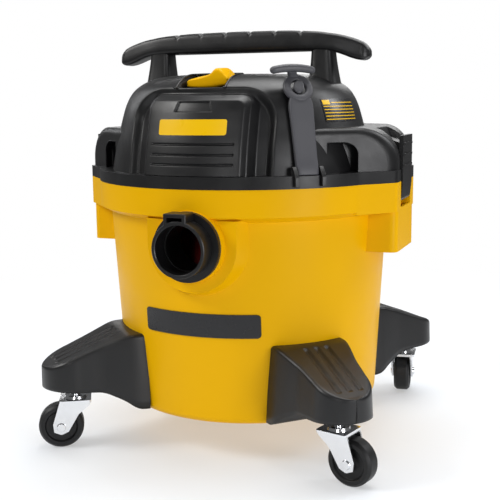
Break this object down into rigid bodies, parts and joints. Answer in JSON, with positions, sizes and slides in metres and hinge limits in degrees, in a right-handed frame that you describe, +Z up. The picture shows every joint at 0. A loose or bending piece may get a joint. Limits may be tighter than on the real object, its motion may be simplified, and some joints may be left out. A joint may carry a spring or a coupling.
{
  "type": "wet and dry shop vacuum",
  "caption": "Canister vacuum with a tapered drum on swivel casters, front hose inlet, side latches and a lift-off motor head with carry handle, rocker switch and pleated filter.",
  "frame": {"origin": "on the floor under the drum's axis, at the height the wheels rest on", "axes": "+Z up, -Y towards the hose inlet (front), +X to the object's left as it faces front, which is the viewer's right"},
  "size_m": [0.3958, 0.4014, 0.467],
  "materials": {
    "yellow_plastic": "moulded, satin gloss",
    "black_plastic": "moulded, fine texture",
    "wheel_rubber": "moulded",
    "grey_rubber": "moulded, matt",
    "seal_foam": "matt",
    "zinc_plate": "bright plated",
    "steel": "plain",
    "motor_metal": "cast",
    "fan_metal": "pressed",
    "copper": "plain",
    "inner_plastic": "moulded",
    "float_plastic": "moulded",
    "filter_paper": "pleated",
    "badge_black": "plain blank plate",
    "badge_yellow": "plain blank plate"
  },
  "bodies": {
    "drum": {"tank_shell": "yellow_plastic", "inlet_port": "black_plastic", "inlet_gasket": "seal_foam", "inlet_lock_ring": "black_plastic", "drum_badge": "badge_black", "stem_sockets": "steel", "foot_screws": "steel", "latch_pins": "steel", "foot_front_left": "black_plastic", "foot_front_right": "black_plastic", "foot_rear_right": "black_plastic", "foot_rear_left": "black_plastic"},
    "powerhead": {"lid_base": "black_plastic", "rim_seal": "seal_foam", "cover_screws": "steel", "motor_cover": "black_plastic", "front_panel": "black_plastic", "cover_badge": "badge_yellow", "cover_label": "badge_yellow", "carry_handle": "black_plastic", "handle_screws": "steel", "switch_frame": "black_plastic", "switch_pin": "steel", "strap_bracket": "black_plastic", "strap_pin": "steel", "exhaust_port": "black_plastic", "cord_gland": "black_plastic", "impeller_housing": "inner_plastic", "motor_frame": "motor_metal", "field_stack": "steel", "motor_bearings": "steel", "brush_holders": "copper", "filter_cage": "inner_plastic", "cartridge_filter": "filter_paper", "filter_end_caps": "seal_foam"},
    "rotor": {"rotor_shaft": "steel", "armature": "steel", "commutator": "copper", "cooling_fan": "fan_metal", "impeller": "fan_metal"},
    "latch_left": {"latch_left": "black_plastic"},
    "latch_right": {"latch_right": "black_plastic"},
    "rocker": {"rocker_switch": "yellow_plastic"},
    "strap": {"rubber_strap": "grey_rubber"},
    "float": {"float_ball": "float_plastic"},
    "retainer": {"filter_retainer": "inner_plastic"},
    "fork_front_left": {"caster_fork_front_left": "zinc_plate", "caster_axle_front_left": "zinc_plate"},
    "wheel_front_left": {"caster_wheel_front_left": "wheel_rubber"},
    "fork_front_right": {"caster_fork_front_right": "zinc_plate", "caster_axle_front_right": "zinc_plate"},
    "wheel_front_right": {"caster_wheel_front_right": "wheel_rubber"},
    "fork_rear_right": {"caster_fork_rear_right": "zinc_plate", "caster_axle_rear_right": "zinc_plate"},
    "wheel_rear_right": {"caster_wheel_rear_right": "wheel_rubber"},
    "fork_rear_left": {"caster_fork_rear_left": "zinc_plate", "caster_axle_rear_left": "zinc_plate"},
    "wheel_rear_left": {"caster_wheel_rear_left": "wheel_rubber"}
  },
  "joints": [
    {"name": "lid_lift", "type": "slide", "parent": "drum", "child": "powerhead", "axis": [0, 0, 1], "range_m": [0, 0.16]},
    {"name": "latch_left_open", "type": "hinge", "parent": "drum", "child": "latch_left", "pos_m": [-0.184, 0, 0.282], "axis": [0, -1, 0], "range_deg": [0, 110]},
    {"name": "latch_right_open", "type": "hinge", "parent": "drum", "child": "latch_right", "pos_m": [0.184, 0, 0.282], "axis": [0, 1, 0], "range_deg": [0, 110]},
    {"name": "rocker_press", "type": "hinge", "parent": "powerhead", "child": "rocker", "pos_m": [0, -0.104, 0.412], "axis": [0, 1, 0], "range_deg": [0, 24]},
    {"name": "strap_swing", "type": "hinge", "parent": "powerhead", "child": "strap", "pos_m": [0.11331, -0.12807, 0.318], "axis": [0.749, 0.6626, 0], "range_deg": [0, 110]},
    {"name": "motor_spin", "type": "hinge", "parent": "powerhead", "child": "rotor", "pos_m": [0, -0.02, 0.36], "axis": [0, 0, 1], "continuous": true},
    {"name": "float_rise", "type": "slide", "parent": "powerhead", "child": "float", "axis": [0, 0, 1], "range_m": [0, 0.09]},
    {"name": "retainer_turn", "type": "hinge", "parent": "powerhead", "child": "retainer", "pos_m": [0, -0.02, 0.168], "axis": [0, 0, 1], "range_deg": [0, 90]},
    {"name": "swivel_front_left", "type": "hinge", "parent": "drum", "child": "fork_front_left", "pos_m": [-0.15556, -0.15556, 0.06], "axis": [0, 0, 1], "continuous": true},
    {"name": "roll_front_left", "type": "hinge", "parent": "fork_front_left", "child": "wheel_front_left", "pos_m": [-0.17029, -0.16406, 0.0254], "axis": [0.5, -0.866, 0], "continuous": true},
    {"name": "swivel_front_right", "type": "hinge", "parent": "drum", "child": "fork_front_right", "pos_m": [0.15556, -0.15556, 0.06], "axis": [0, 0, 1], "continuous": true},
    {"name": "roll_front_right", "type": "hinge", "parent": "fork_front_right", "child": "wheel_front_right", "pos_m": [0.17198, -0.15996, 0.0254], "axis": [0.2588, 0.9659, 0], "continuous": true},
    {"name": "swivel_rear_right", "type": "hinge", "parent": "drum", "child": "fork_rear_right", "pos_m": [0.15556, 0.15556, 0.06], "axis": [0, 0, 1], "continuous": true},
    {"name": "roll_rear_right", "type": "hinge", "parent": "fork_rear_right", "child": "wheel_rear_right", "pos_m": [0.15349, 0.17244, 0.0254], "axis": [-0.9925, -0.1219, 0], "continuous": true},
    {"name": "swivel_rear_left", "type": "hinge", "parent": "drum", "child": "fork_rear_left", "pos_m": [-0.15556, 0.15556, 0.06], "axis": [0, 0, 1], "continuous": true},
    {"name": "roll_rear_left", "type": "hinge", "parent": "fork_rear_left", "child": "wheel_rear_left", "pos_m": [-0.17154, 0.16138, 0.0254], "axis": [-0.342, -0.9397, 0], "continuous": true}
  ],
  "couplings": [
    {"joint": "latch_left_open", "follows": "lid_lift", "rad_per_m": 11.98},
    {"joint": "latch_right_open", "follows": "lid_lift", "rad_per_m": 11.98}
  ]
}
